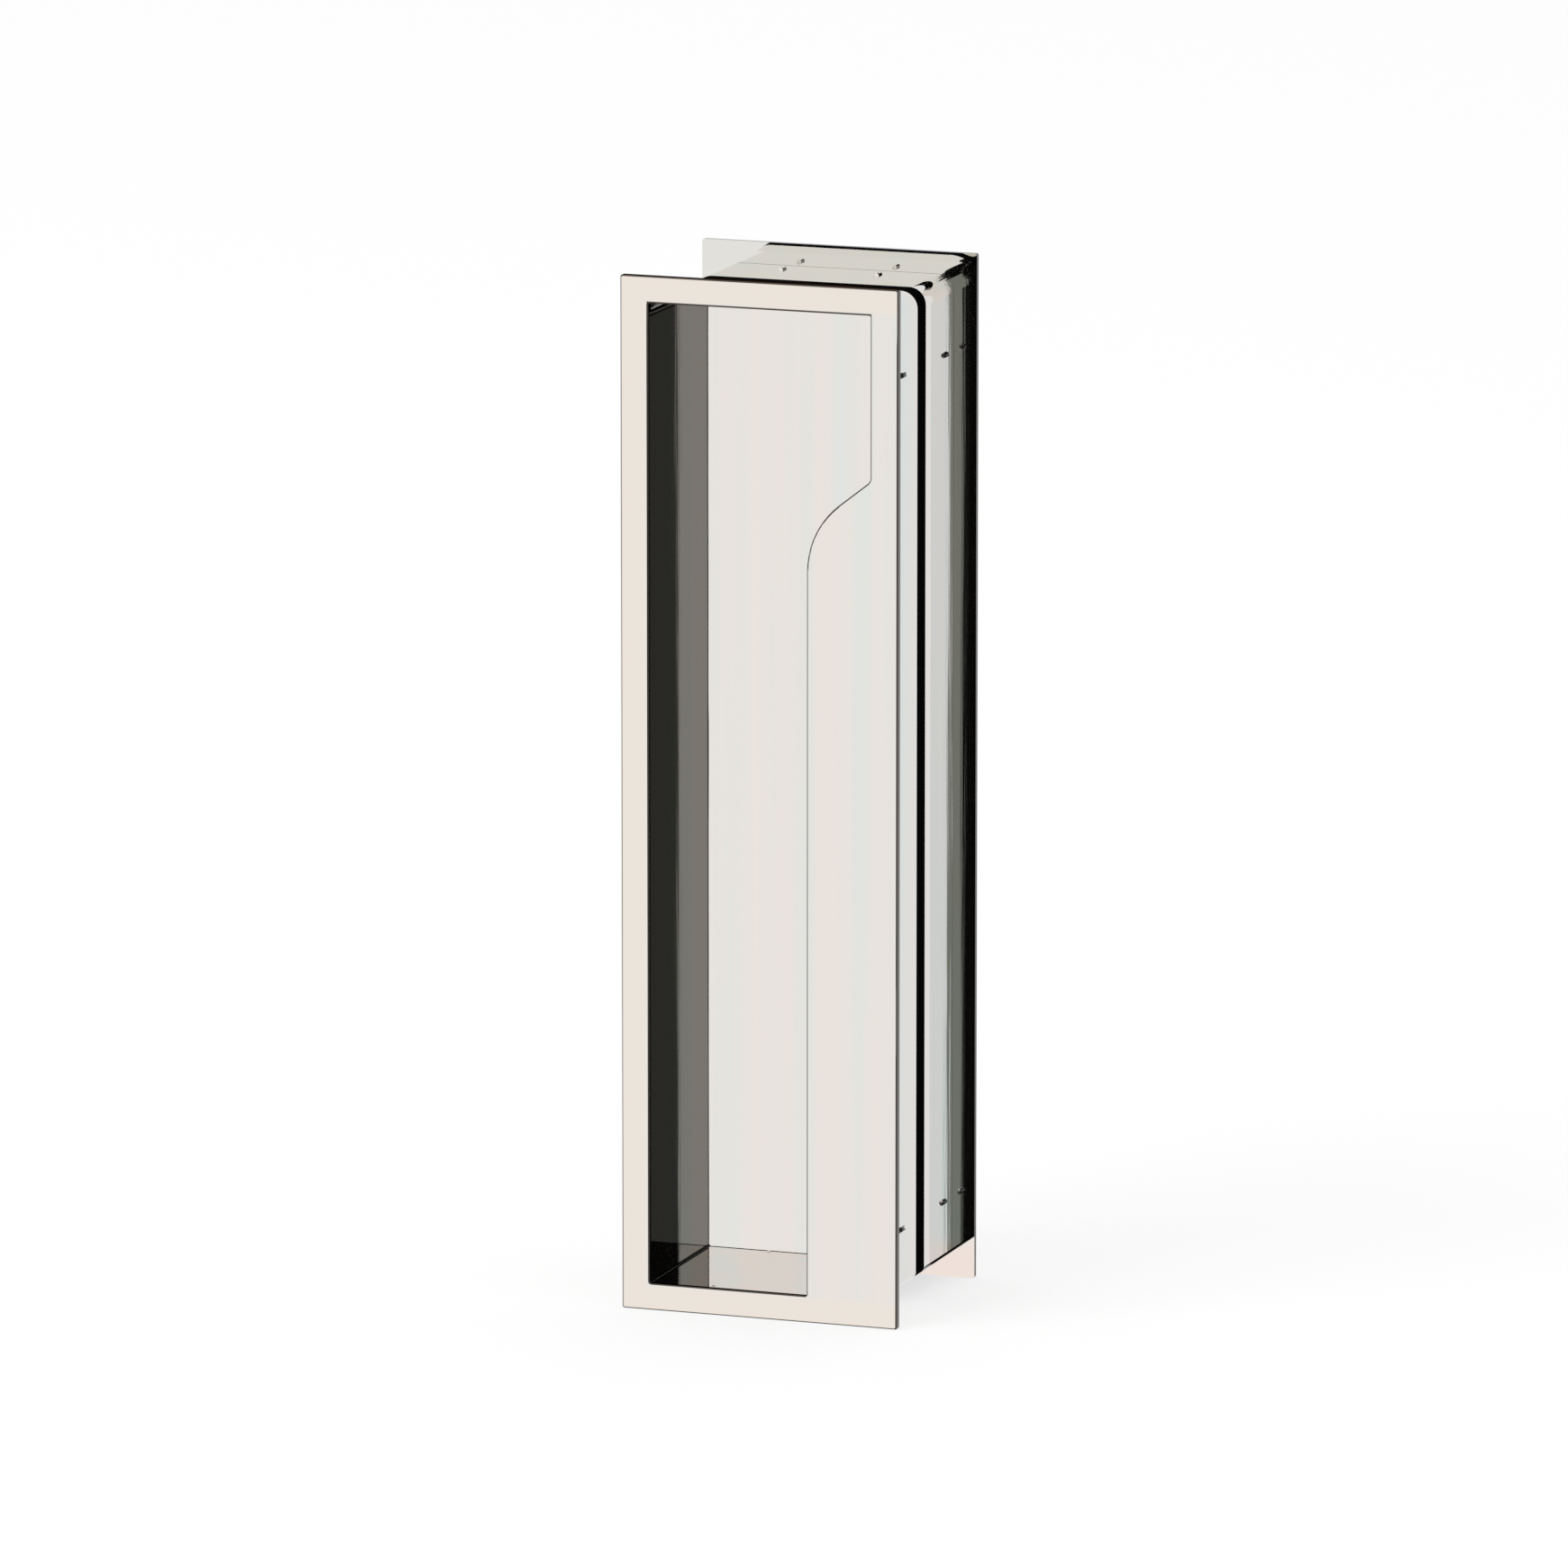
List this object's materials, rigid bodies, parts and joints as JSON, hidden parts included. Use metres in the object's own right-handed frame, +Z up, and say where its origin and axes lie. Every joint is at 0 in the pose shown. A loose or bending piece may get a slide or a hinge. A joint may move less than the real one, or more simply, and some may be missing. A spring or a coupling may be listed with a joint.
{
  "type": "recessed pull handle",
  "caption": "Two-sided recessed finger pull for a sliding door: polished plates with a shaped slot, shallow recesses behind them and a rubber ring between.",
  "frame": {"origin": "centre of the door's cut-out, on the door's front face, which is the back of the face plate", "axes": "+X to the right seen from the front, +Y into the door, +Z up along the handle"},
  "size_m": [0.05, 0.0424, 0.18],
  "materials": {
    "polished_steel": "mirror polished",
    "plain_steel": "plain",
    "black_rubber": "matte"
  },
  "bodies": {
    "root": {"face_plate": "polished_steel", "front_shell": "polished_steel", "front_back": "polished_steel", "rear_back": "polished_steel", "rear_shell": "polished_steel", "rear_plate": "polished_steel", "joint_ring": "black_rubber", "post_upper": "plain_steel", "post_lower": "plain_steel", "screw_upper": "plain_steel", "screw_lower": "plain_steel"}
  },
  "joints": []
}
